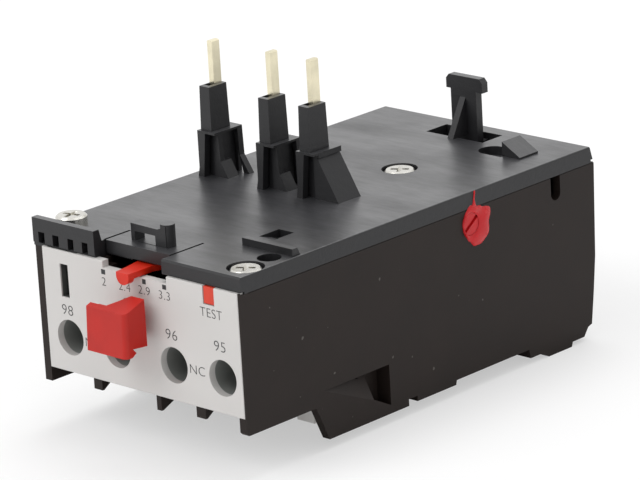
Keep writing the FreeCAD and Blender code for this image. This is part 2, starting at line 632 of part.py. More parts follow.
def aux_terminal(x, name):
    """Strip from the screw clamp up to its fixed contact."""
    y = AUX_STRIP_Y
    wide = 2.55
    plate = box(x - wide, x + wide, y, y + STRIP, -1.4, AUX_TOP - 0.1)
    plate = plate.cut(rod_y(x, HOLE_Z, AUX_SHANK_R + SEAT_GAP, y - 1, y + 2))
    riser = box(x - 2.0, x + 2.0, y, y + STRIP, AUX_TOP - 0.2, 10.4)
    closed = name in ("95", "96")
    end = NC_FACE - 0.05 - 0.35 - 0.8 if closed else NO_FACE + CONTACT_GAP + 0.35
    run = box(x - 2.0, x + 2.0, y, end + 0.8, 9.6, 10.4)
    post = box(x - 1.4, x + 1.4, end, end + 0.8, 9.6, TAIL_UP_Z + 1.7)
    if closed:
        rivet = rod_y(x, TAIL_UP_Z, RIVET_R, end + 0.7, end + 1.15)
    else:
        rivet = rod_y(x, TAIL_UP_Z, RIVET_R, end - 0.35, end + 0.1)
    return join([plate, riser, run, post, rivet])


def aux_clamp(x):
    y0 = AUX_HEAD_Y + AUX_HEAD_LEN + SEAT_GAP
    plate = box(x - 2.6, x + 2.6, y0, y0 + 1.0, HOLE_Z - 6.4, HOLE_Z + 2.4)
    plate = soften(plate, 0.6, lambda m, e: abs(m.z - (HOLE_Z - 6.4)) < 0.01
                   and abs(m.x - x) > 2.5 and e.Length < 1.1)
    return plate.cut(rod_y(x, HOLE_Z, AUX_SHANK_R + SEAT_GAP, y0 - 1, y0 + 2))


def bridge(x0, x1, y_front, contact_side):
    """Contact bridge: thin strip with a rivet near each end."""
    low = TAIL_UP_Z - 1.3
    body = box(x0 - 1.5, x1 + 1.5, y_front, y_front + 0.5, low, low + 2.6)
    rivets = []
    for x in (x0, x1):
        y = y_front - 0.4 if contact_side < 0 else y_front + 0.4
        rivets.append(rod_y(x, TAIL_UP_Z, RIVET_R, y, y + 0.5))
    return join([body] + rivets)


# ---- load path ---------------------------------------------------------

def line_pin(n):
    x = PIN_X[n]
    y0, y1 = PIN_Y
    blade = box(x, x + PIN_WIDE, y0, y1, PIN_FOOT_Z, PIN_TOP)
    blade = blade.cut(prism_y([(x - 0.1, PIN_TOP - 0.3), (x + 0.25, PIN_TOP + 0.1),
                               (x - 0.1, PIN_TOP + 0.1)], y0 - 1, y1 + 1))
    blade = blade.cut(prism_y([(x + PIN_WIDE + 0.1, PIN_TOP - 0.3),
                               (x + PIN_WIDE - 0.25, PIN_TOP + 0.1),
                               (x + PIN_WIDE + 0.1, PIN_TOP + 0.1)], y0 - 1, y1 + 1))
    foot = box(x, STRIP_X[n] + 1.4, y0, y1, PIN_FOOT_Z, PIN_FOOT_Z + PIN_FOOT)
    return join([blade, foot])


def load_bar(n):
    """Left and right side of a load terminal's bar, clear of the barriers."""
    x = LOAD_X[n]
    right = BARRIER_X[1] - 0.3 if n == 1 else x + LOAD_BAR
    return min(x, right) - LOAD_BAR, right


def heater_winding(n):
    """Heater ribbon wound round the bimetal: a ribbed sleeve and two leads."""
    x = STRIP_X[n]
    y0, y1 = WIND_Y
    z0 = STRIP_Z[0] - 0.5
    z1 = STRIP_Z[1] + 0.5
    pitch = (y1 - y0) / WIND_TURNS
    rings = []
    for i in range(WIND_TURNS):
        y = y0 + i * pitch
        rings.append(box(x - 1.35, x + 1.35, y, y + pitch * 0.62, z0 - 0.45, z1 + 0.45))
    tube = box(x - 1.05, x + 1.05, y0, y1, z0 - 0.15, z1 + 0.15)
    lead = PIN_FOOT_Z + PIN_FOOT + 0.02
    front = box(x - 0.5, x + 0.5, PIN_Y[0], y0 + 0.8, lead, lead + 1.2)
    drop = box(x - 0.5, x + 0.5, y0, y0 + 0.8, z1, lead + 0.1)
    left = min(x - 0.8, load_bar(n)[0])
    right = max(x + 0.8, load_bar(n)[1])
    low = LOAD_BAR_Z + STRIP + 0.02
    cross = box(left, right, y1 - 0.8, y1, low, low + 0.8)
    fall = box(x - 0.8, x + 0.8, y1 - 0.8, y1, low, z0)
    body = join([tube, front, drop, cross, fall] + rings)
    bore = box(x - BIMETAL / 2 - 0.1, x + BIMETAL / 2 + 0.1, y0 - 1, y1 + 1,
               STRIP_Z[0] - 0.1, STRIP_Z[1] + 0.1)
    return body.cut(bore)


def bimetal_strip(n):
    x = STRIP_X[n]
    return prism_x([(STRIP_Y[0], STRIP_Z[0] + 0.6), (STRIP_Y[0] + 0.6, STRIP_Z[0]),
                    (STRIP_Y[1], STRIP_Z[0]), (STRIP_Y[1], STRIP_Z[1]),
                    (STRIP_Y[0] + 0.6, STRIP_Z[1]), (STRIP_Y[0], STRIP_Z[1] - 0.6)],
                   x - BIMETAL / 2, x + BIMETAL / 2)


def load_terminal(n):
    x = LOAD_X[n]
    y = LOAD_STRIP_Y
    plate = box(x - 4.2, x + 4.2, y, y + STRIP, LOAD_Z - 3.4, LOAD_BAR_Z + STRIP)
    plate = plate.cut(rod_y(x, LOAD_Z, LOAD_SHANK_R + SEAT_GAP, y - 1, y + 2))
    root = box(x - 2.0, x + 2.0, y, HEAT_FRONT - 0.2, LOAD_BAR_Z, LOAD_BAR_Z + STRIP)
    x0, x1 = load_bar(n)
    bar = box(x0, x1, y, WIND_Y[1], LOAD_BAR_Z, LOAD_BAR_Z + STRIP)
    return join([plate, root, bar])


def load_clamp(n):
    x = LOAD_X[n]
    y0 = LOAD_HEAD_Y + LOAD_HEAD_LEN + SEAT_GAP
    plate = box(x - 4.2, x + 4.2, y0, y0 + LOAD_CLAMP, LOAD_Z - 3.4, LOAD_Z + 3.0)
    plate = soften(plate, 0.8, lambda m, e: e.Length < LOAD_CLAMP + 0.01 and m.z < LOAD_Z)
    return plate.cut(rod_y(x, LOAD_Z, LOAD_SHANK_R + SEAT_GAP, y0 - 1, y0 + 2))


# ---- trip mechanism ----------------------------------------------------

def slider(y0, x0, x1, tab):
    """Slider with a window round the free end of each bimetal strip."""
    plate = box(x0, x1, y0, y0 + SLIDER, 3.0, 11.6)
    cuts = []
    for x in STRIP_X:
        cuts.append(box(x - BIMETAL / 2 - 2.1, x + BIMETAL / 2 + 0.1, y0 - 1, y0 + 3,
                        3.7, 9.8))
    plate = plate.cut(cuts)
    if tab:
        plate = plate.cut(box(x1 - 1.2, x1 + 1, y0 - 1, y0 + 3, 2, 9.5))
    return plate


def trip_lever():
    px, py = PIVOT
    z0, z1 = LEVER_Z
    hub = rod_z(px, py, 2.2, z0, z1 + 1.2)
    rear = prism_z([(px - 0.8, py), (px + 0.8, py), (px + 0.8, 44.2), (px - 0.2, 44.8),
                    (px - 0.8, 44.8)], z0, z1)
    left = prism_z([(px, py + 1.2), (LEVER_PIN_X, py + 0.9), (LEVER_PIN_X, py - 0.9),
                    (px, py - 1.2)], z0, z1)
    end = rod_z(LEVER_PIN_X, py, 0.9, z0, z1)
    pin = rod_z(LEVER_PIN_X, py, LEVER_PIN_R, z0, CARRIER_Z[1] - 0.3)
    mid = px - 5.5
    post = box(mid - 1.0, mid + 1.0, 32.0, 34.0, z0, 18.6)
    post = post.cut(box(mid - 0.32, mid + 0.32, 31, 33.82, 15.7, 19))
    body = join([hub, rear, left, end, pin, post])
    return body.cut(rod_z(px, py, PIVOT_R + RUN, z0 - 1, z1 + 3))


def compensator_strip():
    mid = PIVOT[0] - 5.5
    return box(mid - 0.3, mid + 0.3, 22.0, 33.8, 15.75, 18.8)


def contact_carrier():
    z0, z1 = CARRIER_Z
    cross = box(8.5, WIDTH - 4.5, 20.0, 22.0, z0, z1)
    pin = LEVER_PIN_X
    bar = box(pin - 1.4, pin + 1.7, 21.9, PIVOT[1] + 1.7, z0, z1)
    slot = box(pin - 0.9, pin + 1.1, PIVOT[1] - LEVER_PIN_R - 0.08, PIVOT[1] + LEVER_PIN_R + 0.08,
               z0 - 1, z1 + 1)
    mid = (HOLE_X[2] + HOLE_X[3]) / 2
    nc_post = box(mid - 1.0, mid + 1.0, 18.3, 20.1, z0 - 0.6, z1 + 0.6)
    nc_post = nc_post.cut(box(mid - 2, mid + 2, NC_FACE + 0.38, NC_FACE + 0.92, TAIL_UP_Z - 1.32,
                              TAIL_UP_Z + 1.32))
    no_post = box(11.5, 13.5, 21.9, 23.6, z0 - 0.6, z1 + 0.6)
    no_post = no_post.cut(box(10, 15, NO_FACE - 0.92, NO_FACE - 0.38, TAIL_UP_Z - 1.32,
                              TAIL_UP_Z + 1.32))
    upstand = box(TEST_X[0], TEST_X[1] - 0.15, 20.0, 22.0, z1 - 0.1, 18.2)
    return join([cross, bar, nc_post, no_post, upstand]).cut(slot)


def reset_button():
    """Cap with a finger hook along its lower edge, stem and spring rod."""
    left, right = CAP_X
    front = CAP_FRONT
    side = prism_x([(front, 7.8), (front + 0.35, 14.85), (CAP_BACK, 16.3), (CAP_BACK, 8.8),
                    (-5.0, 9.1), (-4.35, 8.35), (-5.2, 7.8)], left, right)
    plan = prism_z([(left, front), (right, front), (right, CAP_BACK), (right - 2.6, CAP_BACK),
                    (left + 1.9, front + 3.1), (left, front + 3.1)], 7.0, 17.0)
    dish = prism_y([(left - 1, 14.4), (left + 1.9, 14.4), (right - 2.6, 16.4),
                    (right - 2.6, 18.0), (left - 1, 18.0)], front + 1.3, CAP_BACK + 0.1)
    cap = side.common(plan)
    cap = soften(cap, 0.9, lambda m, e: m.x > right - 0.01 and m.y < front + 0.3 and e.Length > 6)
    cap = cap.cut(dish)
    stem = box(STEM_X[0], STEM_X[1], CAP_FRONT + 1.5, 6.0, STEM_Z[0], STEM_Z[1])
    rod = rod_y(RESET_MID[0], RESET_MID[1], RESET_ROD_R, 5.9, RESET_END)
    return join([cap, stem, rod])


def coil(x, z, radius, wire, y0, y1, turns):
    """Compression spring along y, as one swept wire."""
    pitch = (y1 - y0 - 2 * wire) / turns
    helix = Part.makeHelix(pitch, pitch * turns, radius)
    corners = []
    for i in range(11):
        turn = 2 * math.pi * i / 10
        corners.append(vec(radius + wire * math.cos(turn), 0, wire * math.sin(turn)))
    section = Part.makePolygon(corners)
    body = Part.Wire(helix).makePipeShell([section], True, True)
    body.rotate(vec(0, 0, 0), vec(1, 0, 0), -90)
    body.translate(vec(x, y0 + wire, z))
    return body


def reset_spring():
    return coil(RESET_MID[0], RESET_MID[1], 1.95, 0.2, 6.02, 10.7, 5)


def test_slide():
    x0, x1 = TEST_X
    tab = box(x0, x1, 0.15, 4.0, TEST_Z, 19.85)
    tail = box(x0 + 0.2, x1 - 0.2, 3.9, 18.1, 16.6, 18.2)
    link = box(x0 + 0.2, x1 - 0.2, 3.2, 4.0, 16.6, 18.2)
    return join([tab, tail, link])


def test_spring():
    return coil((TEST_X[0] + TEST_X[1]) / 2, 17.4, 1.45, 0.18, 7.4, 12.4, 5)


def adjuster_lever():
    """Setting lever: hub with an eccentric cam, arm and pointer."""
    x, y = ADJ_PIVOT
    z0, z1 = ADJ_Z
    hub = rod_z(x, y, 2.4, 16.6, z1)
    cam = rod_z(x + 0.7, y + 0.7, 2.6, 16.6, z0)
    arm = prism_z([(x - 2.4, y), (x - 3.0, 5.0), (x - 1.9, 0), (x - 1.6, -2.5),
                   (x + 1.1, -2.5), (x + 1.1, 2.8), (x + 2.4, 6.0), (x + 2.4, y)], z0, z1)
    nose = box(x - 1.6, x + 1.1, -2.5, -1.25, 19.0, z0 + 0.1)
    chin = rod_y(x - 0.25, 19.3, 1.35, -2.5, -1.25).common(
        box(x - 2.0, x + 2.0, -3.0, 0, 17.0, z1))
    nose = join([nose, chin])
    body = join([hub, cam, arm, nose])
    return body.cut(rod_z(x, y, ADJ_PIN_R + RUN, 15, 21))


def trip_flag():
    """Trip indicator that slides behind the slot, with a tail for the carrier."""
    plate = box(FLAG_X[0], FLAG_X[1], FLAG_Y[0], FLAG_Y[1], FLAG_Z[0], FLAG_Z[1])
    tail = box(FLAG_X[1] - 0.9, FLAG_X[1], FLAG_Y[0], 4.6, 14.25, 15.75)
    return join([plate, tail])


def main():
    os.makedirs("parts", exist_ok=True)
    save("base_housing", base_housing())
    save("top_cover", top_cover())
    save("front_plate", front_plate())
    save("terminal_front", terminal_front())
    save("cover_screws", cover_screws())
    save("calibration_screw", calibration_screw())
    save("sealing_lacquer", sealing_lacquer())
    for n in range(3):
        tag = str(n + 1)
        save("line_pin_" + tag, line_pin(n))
        save("bimetal_strip_" + tag, bimetal_strip(n))
        save("heater_winding_" + tag, heater_winding(n))
        save("load_terminal_" + tag, load_terminal(n))
        save("load_clamp_" + tag, load_clamp(n))
        save("load_screw_" + tag,
             terminal_screw(LOAD_X[n], LOAD_Z, LOAD_HEAD_Y, LOAD_HEAD_LEN, LOAD_HEAD_R,
                            LOAD_SHANK_R, LOAD_SHANK_END, 20 + 25 * n))
    for name, x in zip(AUX_NAMES, HOLE_X):
        save("aux_terminal_" + name, aux_terminal(x, name))
        save("aux_clamp_" + name, aux_clamp(x))
        save("aux_screw_" + name,
             terminal_screw(x, HOLE_Z, AUX_HEAD_Y, AUX_HEAD_LEN, AUX_HEAD_R, AUX_SHANK_R,
                            AUX_SHANK_END, 15 + 3 * x))
    save("nc_bridge", bridge(HOLE_X[2], HOLE_X[3], NC_FACE + 0.4, -1))
    save("no_bridge", bridge(HOLE_X[0], HOLE_X[1], NO_FACE - 0.9, 1))
    save("trip_slider", slider(TRIP_Y, 5.5, PIVOT[0] - 1.0, True))
    save("differential_slider", slider(DIFF_Y, 4.5, PIVOT[0] - 2.0, False))
    save("trip_lever", trip_lever())
    save("compensator_strip", compensator_strip())
    save("contact_carrier", contact_carrier())
    save("reset_button", reset_button())
    save("reset_spring", reset_spring())
    save("test_slide", test_slide())
    save("test_spring", test_spring())
    save("adjuster_lever", adjuster_lever())
    save("trip_flag", trip_flag())


main()
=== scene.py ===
import math

import bmesh
import bpy
from mathutils import Matrix, Vector


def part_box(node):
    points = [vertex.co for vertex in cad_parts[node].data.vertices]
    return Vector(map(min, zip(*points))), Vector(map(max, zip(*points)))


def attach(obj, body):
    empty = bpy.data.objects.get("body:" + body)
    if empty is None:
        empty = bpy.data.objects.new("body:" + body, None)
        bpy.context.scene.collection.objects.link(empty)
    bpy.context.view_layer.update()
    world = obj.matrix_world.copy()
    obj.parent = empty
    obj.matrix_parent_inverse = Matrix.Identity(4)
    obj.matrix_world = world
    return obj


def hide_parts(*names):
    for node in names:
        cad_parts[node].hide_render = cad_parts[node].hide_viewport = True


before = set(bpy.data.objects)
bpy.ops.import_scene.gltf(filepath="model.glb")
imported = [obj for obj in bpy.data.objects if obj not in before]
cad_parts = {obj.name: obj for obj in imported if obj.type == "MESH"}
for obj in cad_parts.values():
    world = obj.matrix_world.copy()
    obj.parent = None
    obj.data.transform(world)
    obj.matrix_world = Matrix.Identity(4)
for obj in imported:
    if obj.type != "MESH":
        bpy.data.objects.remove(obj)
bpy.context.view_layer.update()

bl_info = {
    "name": "Thermal overload relay",
    "version": (1, 0, 0),
    "blender": (4, 5, 0),
    "location": "View3D > Sidebar > Relay",
    "description": "Finishes, printing, lacquer and studio for a plug-in thermal overload relay",
    "category": "Object",
}

MM = 0.001

# places on the relay, from the front plate's left foot and the right wall
PLATE_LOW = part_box("front_plate")[0]
WALL_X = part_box("base_housing")[1].x
RELAY_LEFT = PLATE_LOW.x - 2.15 * MM
PLATE_BACK = PLATE_LOW.y + 1.25 * MM
COVER_EDGE = PLATE_LOW.z + 22.25 * MM
WINDOW_LEFT = PLATE_LOW.x + 0.8 * MM
WINDOW_RIGHT = PLATE_LOW.x + 7.5 * MM
WINDOW_FOOT = PLATE_LOW.z + 11.6 * MM

# numbers and words on the plate: text, kind, then the centre's distance from
# the relay's left side and from the plate's foot, in millimetres
PRINTING = (
    ("98", "number", 7.05, 10.2), ("97", "number", 17.55, 10.35),
    ("96", "number", 30.05, 10.6), ("95", "number", 40.4, 10.7),
    ("NO", "word", 12.4, 5.7), ("NC", "word", 35.2, 5.9),
    ("TEST", "narrow_word", 38.95, 15.7),
    ("2", "scale", 15.85, 16.5), ("2.4", "scale", 20.4, 16.5),
    ("2.9", "scale", 24.7, 16.7), ("3.3", "scale", 29.1, 16.7),
)
# square marks of the scale: left, right, foot and top, measured in the same way
MARKS = (
    (15.4, 16.3, 17.75, 18.55), (19.9, 20.8, 17.75, 18.55),
    (24.4, 25.2, 17.8, 18.6), (28.75, 29.6, 17.75, 18.5),
)
WIDE_LETTERS = 1.08
NARROW_LETTERS = 0.98

# reach of the lacquer from the screw's axis, every 24 degrees from the top, in millimetres
LACQUER_REACH = (3.1, 3.0, 3.5, 4.9, 4.2, 4.7, 4.4, 3.9, 2.8, 2.25, 2.1, 2.0, 2.1, 2.2, 2.55)
LIFT = 0.004 * MM          # keeps a thin film off the face under it

# lamps: name, place, width of the light's square, power
LAMPS = (
    ("key", (-0.35, -0.85, 0.9), 0.7, 6.0),
    ("fill", (0.9, -0.5, 0.7), 0.9, 0.8),
    ("top", (-0.1, 0.5, 1.2), 0.9, 7.0),
)

# axes of the camera
RIGHT = Vector((0.7263038661, 0.6851261433, -0.0555415320))
UP = Vector((-0.1685679353, 0.2558676476, 0.9519015695))
BACK = Vector((0.6663839323, -0.6820072688, 0.3013278112))
TURN = tuple(Matrix((RIGHT, UP, BACK)).transposed().to_euler())


# ---- settings ----------------------------------------------------------

def tint(name, about, colour):
    return bpy.props.FloatVectorProperty(
        name=name, description=about, default=colour, size=3, min=0.0, max=1.0, subtype="COLOR")


def length(name, about, value):
    return bpy.props.FloatProperty(
        name=name, description=about, default=value, unit="LENGTH", subtype="DISTANCE",
        precision=5)


def share(name, about, value):
    return bpy.props.FloatProperty(
        name=name, description=about, default=value, min=0.0, max=1.0, subtype="FACTOR")


class RelayColours(bpy.types.PropertyGroup):
    """Colours and gloss of the mouldings and metals"""
    cover: tint("Cover", "Black satin cover", (0.021, 0.021, 0.023))
    body: tint("Body", "Black-brown base moulding", (0.0165, 0.0115, 0.0098))
    plate: tint("Plate", "Light grey front plate", (0.60, 0.585, 0.57))
    button: tint("Reset button", "Red reset button", (0.46, 0.015, 0.009))
    lever: tint("Set-current lever", "Orange-red lever", (0.62, 0.022, 0.007))
    tab: tint("Test tab", "Red test tab", (0.66, 0.054, 0.027))
    lacquer: tint("Lacquer", "Red sealing lacquer", (0.55, 0.012, 0.016))
    print_ink: tint("Printing", "Dark grey printing", (0.024, 0.024, 0.026))
    brass: tint("Line pins", "Pale tinned brass", (0.80, 0.74, 0.55))
    nickel: tint("Screws", "Bright nickel", (0.68, 0.665, 0.62))
    cover_gloss: share("Cover roughness", "Roughness of the cover's satin", 0.36)
    body_gloss: share("Body roughness", "Roughness of the base moulding", 0.5)


class RelayPrinting(bpy.types.PropertyGroup):
    """Sizes of the printed words and numbers"""
    number_height: length("Terminal numbers", "Height of 95 to 98", 1.75 * MM)
    word_height: length("Words", "Height of NO, NC and TEST", 1.55 * MM)
    scale_height: length("Scale numbers", "Height of the current scale's numbers", 1.42 * MM)
    film: length("Ink film", "Thickness of the ink", 0.012 * MM)


class RelayStudio(bpy.types.PropertyGroup):
    """Camera and light"""
    eye: bpy.props.FloatVectorProperty(
        name="Camera", description="Where the camera stands", size=3, unit="LENGTH",
        subtype="XYZ", default=(0.44740, -0.454990, 0.22592))
    turn: bpy.props.FloatVectorProperty(
        name="Camera turn", description="Camera rotation", size=3, unit="ROTATION",
        subtype="EULER", default=TURN)
    lens: bpy.props.FloatProperty(
        name="Lens", description="Focal length in millimetres", default=237.15, subtype="DISTANCE_CAMERA")
    room: share("Room light", "Strength of the even light round the relay", 0.58)


# ---- shader maths ------------------------------------------------------

class Value:
    """A shader socket that takes part in Python expressions."""

    def __init__(self, tree, socket):
        self.tree = tree
        self.socket = socket

    def maths(self, operation, *others):
        node = self.tree.nodes.new("ShaderNodeMath")
        node.operation = operation
        for slot, other in zip(node.inputs, others):
            if isinstance(other, Value):
                self.tree.links.new(other.socket, slot)
            else:
                slot.default_value = other
        return Value(self.tree, node.outputs[0])

    def __add__(self, other):
        return self.maths("ADD", self, other)

    def __radd__(self, other):
        return self.maths("ADD", other, self)

    def __sub__(self, other):
        return self.maths("SUBTRACT", self, other)

    def __rsub__(self, other):
        return self.maths("SUBTRACT", other, self)

    def __mul__(self, other):
        return self.maths("MULTIPLY", self, other)

    def __rmul__(self, other):
        return self.maths("MULTIPLY", other, self)

    def clamp(self):
        return self.maths("MAXIMUM", self.maths("MINIMUM", self, 1.0), 0.0)


class Finish:
    """A material built node by node round one Principled shader."""

    def __init__(self, name, colour, roughness, metallic=0.0, **fixed):
        self.material = bpy.data.materials.new(name)
        self.material.use_nodes = True
        self.tree = self.material.node_tree
        self.shader = self.tree.nodes["Principled BSDF"]
        self.shader.inputs["Base Color"].default_value = (*colour, 1.0)
        self.shader.inputs["Roughness"].default_value = roughness
        self.shader.inputs["Metallic"].default_value = metallic
        self.material.diffuse_color = (*colour, 1.0)
        for key, value in fixed.items():
            socket = key.replace("_", " ").title().replace("Ior", "IOR")
            self.shader.inputs[socket].default_value = value
        self.spot = self.node("ShaderNodeTexCoord").outputs["Object"]

    def node(self, kind, settings=None, **values):
        made = self.tree.nodes.new(kind)
        for key, value in (settings or {}).items():
            setattr(made, key, value)
        for key, value in values.items():
            numbered = key[0] == "i" and key[1:].isdigit()
            socket = made.inputs[int(key[1:]) if numbered else key]
            if isinstance(value, Value):
                self.tree.links.new(value.socket, socket)
            elif isinstance(value, bpy.types.NodeSocket):
                self.tree.links.new(value, socket)
            else:
                socket.default_value = value
        return made

    def stretched(self, x=1.0, y=1.0, z=1.0):
        """Object position, scaled per axis."""
        return self.node("ShaderNodeMapping", Vector=self.spot, Scale=(x, y, z)).outputs[0]

    def noise(self, scale, detail=3.0, roughness=0.5, at=None):
        made = self.node("ShaderNodeTexNoise", Vector=at or self.spot, Scale=scale,
                         Detail=detail, Roughness=roughness)
        return Value(self.tree, made.outputs["Fac"])

    def axis(self, name):
        split = self.node("ShaderNodeSeparateXYZ", Vector=self.spot)
        return Value(self.tree, split.outputs[name])

    def facing_up(self):
        split = self.node("ShaderNodeSeparateXYZ",
                          Vector=self.node("ShaderNodeNewGeometry").outputs["Normal"])
        return Value(self.tree, split.outputs["Z"])

    def ramp(self, value, low, high):
        """0 below low, 1 above high, straight between."""
        made = self.node("ShaderNodeMapRange", {"clamp": True}, i0=value, i1=low, i2=high)
        return Value(self.tree, made.outputs[0])

    def past(self, axis, start, over):
        """0 up to start along an axis, rising to 1 over a short way."""
        return self.ramp(self.axis(axis), start, start + over)

    def mix(self, part, first, second):
        made = self.node("ShaderNodeMix", {"data_type": "RGBA"}, i0=part)
        for index, colour in ((6, first), (7, second)):
            if isinstance(colour, bpy.types.NodeSocket):
                self.tree.links.new(colour, made.inputs[index])
            else:
                made.inputs[index].default_value = (*colour, 1.0)
        return made.outputs[2]

    def colour(self, socket):
        self.tree.links.new(socket, self.shader.inputs["Base Color"])

    def coat(self, value):
        self.tree.links.new(value.socket, self.shader.inputs["Coat Weight"])

    def rough(self, value):
        self.tree.links.new(value.socket, self.shader.inputs["Roughness"])

    def bump(self, height, strength, distance):
        made = self.node("ShaderNodeBump", Height=height, Strength=strength, Distance=distance)
        self.tree.links.new(made.outputs[0], self.shader.inputs["Normal"])


# ---- finishes ----------------------------------------------------------

def dimmed(colour, factor):
    return tuple(min(1.0, c * factor) for c in colour)


def cover_plastic(colours):
    """Satin black cover: painted sheen as a lighter colour in patches on its upward faces, with flow
    lines, a coat on its top, and a fine grain.
    """
    f = Finish("relay_cover", colours.cover, colours.cover_gloss, specular_ior_level=0.36,
               coat_roughness=0.3, coat_ior=1.6)
    streak = f.noise(1100, 4, 0.65, f.stretched(0.22, 1.0, 1.0))
    flow = f.noise(150, 4, 0.6, f.stretched(0.25, 1.0, 1.0))
    cloud = f.noise(55, 3, 0.55)
    fine = f.noise(4200, 2, 0.6)
    top = f.ramp(f.facing_up(), 0.75, 0.95)
    sheen_patch = (0.45 * flow + 0.35 * streak + 0.4 * cloud).clamp()
    # painted sheen: upward faces get a lighter colour in patches
    f.colour(f.mix(f.ramp(sheen_patch, 0.35, 0.85) * top, dimmed(colours.cover, 0.78),
                   dimmed(colours.cover, 2.2)))
    f.coat(top * f.ramp(sheen_patch, 0.3, 0.85))
    f.rough((colours.cover_gloss - 0.03) + 0.16 * streak)
    f.bump(streak * 0.75 + fine * 0.25, 0.55, 0.00012)
    return f.material


def body_plastic(colours):
    """Brown-black base moulding with fine grain, a few pale specks and scuffs."""
    f = Finish("relay_body", colours.body, colours.body_gloss, specular_ior_level=0.2)
    cloud = f.noise(90, 4, 0.6)
    fine = f.noise(3600, 3, 0.6)
    specks = f.ramp(f.noise(900, 1, 0.3), 0.79, 0.82)
    scuffs = f.ramp(f.noise(260, 5, 0.7), 0.66, 0.8) * f.ramp(f.noise(60, 2, 0.5), 0.55, 0.7)
    tone = f.mix(f.ramp(cloud, 0.3, 0.7), dimmed(colours.body, 0.85), dimmed(colours.body, 1.2))
    f.colour(f.mix((specks * 0.3 + scuffs * 0.25).clamp(), tone, (0.3, 0.28, 0.26)))
    f.rough((colours.body_gloss - 0.06) + 0.12 * cloud)
    f.bump(fine, 0.2, 0.00006)
    return f.material


def plate_plastic(name, colours, painted_shade=False):
    """Smooth light grey moulding; if asked, painted shade darkens the inside of its collars and of its
    window.
    """
    f = Finish(name, colours.plate, 0.48)
    cloud = f.noise(60, 3, 0.5)
    tone = f.mix(f.ramp(cloud, 0.3, 0.7), dimmed(colours.plate, 0.97), dimmed(colours.plate, 1.02))
    if painted_shade:
        # painted shade: faces behind the plate's front, inside the collars, darker grey
        painted_collar_shade = f.past("Y", PLATE_BACK - 0.05 * MM, 0.1 * MM)
        tone = f.mix(painted_collar_shade, tone, (0.20, 0.208, 0.198))
        # painted shade: the inner faces of the window darker still
        painted_window_shade = (f.past("Y", PLATE_LOW.y + 0.2 * MM, 0.15 * MM)
                  * f.past("X", WINDOW_LEFT, 0.1 * MM)
                  * (1 - f.past("X", WINDOW_RIGHT, 0.1 * MM))
                  * f.past("Z", WINDOW_FOOT, 0.1 * MM))
        tone = f.mix(painted_window_shade, tone, (0.07, 0.072, 0.07))
    f.colour(tone)
    f.rough(0.44 + 0.1 * cloud)
    f.bump(f.noise(2500, 2, 0.5), 0.12, 0.00004)
    return f.material


def clear_red(name, colour, gloss):
    """Coloured moulding with a soft gloss, a little translucent."""
    f = Finish(name, colour, gloss, specular_ior_level=0.3, subsurface_weight=0.1,
               subsurface_scale=0.001)
    cloud = f.noise(220, 3, 0.5)
    f.colour(f.mix(f.ramp(cloud, 0.3, 0.7), dimmed(colour, 0.92), dimmed(colour, 1.06)))
    f.rough(gloss - 0.05 + 0.1 * cloud)
    f.bump(f.noise(1900, 2, 0.5), 0.15, 0.00005)
    return f.material


def metal(name, colour, roughness, streaks):
    """Bright metal with fine drawing marks."""
    f = Finish(name, colour, roughness, 1.0)
    lines = f.noise(1800, 3, 0.6, f.stretched(*streaks))
    blotch = f.noise(300, 3, 0.55)
    f.colour(f.mix(f.ramp(blotch, 0.3, 0.7), dimmed(colour, 0.86), dimmed(colour, 1.05)))
    f.rough(roughness - 0.05 + 0.16 * lines)
    f.bump(lines, 0.16, 0.00004)
    return f.material


def plain_moulding(name, colour, roughness):
    f = Finish(name, colour, roughness)
    cloud = f.noise(160, 3, 0.5)
    f.colour(f.mix(f.ramp(cloud, 0.3, 0.7), dimmed(colour, 0.88), dimmed(colour, 1.08)))
    f.bump(f.noise(2200, 2, 0.5), 0.15, 0.00005)
    return f.material


def dress(nodes, material):
    for name in nodes:
        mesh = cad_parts[name].data
        mesh.materials.clear()
        mesh.materials.append(material)


# ---- mesh helpers ------------------------------------------------------

def deselect():
    if bpy.context.object and bpy.context.object.mode != "OBJECT":
        bpy.ops.object.mode_set(mode="OBJECT")
    bpy.ops.object.select_all(action="DESELECT")


def settle(piece, place=None):
    """Put place into the mesh and leave the object at the origin."""
    if place is not None:
        piece.data.transform(place)
    piece.matrix_world = Matrix.Identity(4)
    return piece


def join_pieces(pieces, name):
    deselect()
    for piece in pieces:
        piece.select_set(True)
    bpy.context.view_layer.objects.active = pieces[0]
    if len(pieces) > 1:
        bpy.ops.object.join()
    whole = bpy.context.view_layer.objects.active
    whole.name = name
    whole.data.name = name
    return whole


def finish_piece(piece, body, material):
    piece.data.materials.clear()
    piece.data.materials.append(material)
    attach(piece, body)
    return piece


def word(body, height, film, centre, width):
    """Printed word on a face that looks along -y, centred on (x, z)."""
    deselect()
    bpy.ops.object.text_add()
    text = bpy.context.object
    text.data.body = body
    text.data.align_x = "CENTER"
    text.data.align_y = "CENTER"
    text.data.size = height / 0.72
    text.data.space_character = 1.06
    text.data.offset = -height * 0.022
    text.data.extrude = film
    bpy.ops.object.convert(target="MESH")
    text = bpy.context.object
    x, y, z = centre
    settle(text, Matrix.Translation((x, y, z)) @ Matrix.Rotation(math.pi / 2, 4, "X")
           @ Matrix.Diagonal((width, 1.0, 1.0, 1.0)))
    return text


# ---- operators ---------------------------------------------------------

class RELAY_OT_housing(bpy.types.Operator):
    """Give the base, the cover and the light grey faces their finishes"""
    bl_idname = "relay.housing"
    bl_label = "Finish housing"

    def execute(self, context):
        colours = context.scene.relay_colours
        dress(["base_housing"], body_plastic(colours))
        dress(["top_cover"], cover_plastic(colours))
        dress(["front_plate"], plate_plastic("relay_plate", colours, painted_shade=True))
        dress(["terminal_front"], plate_plastic("relay_lower_front", colours))
        return {"FINISHED"}


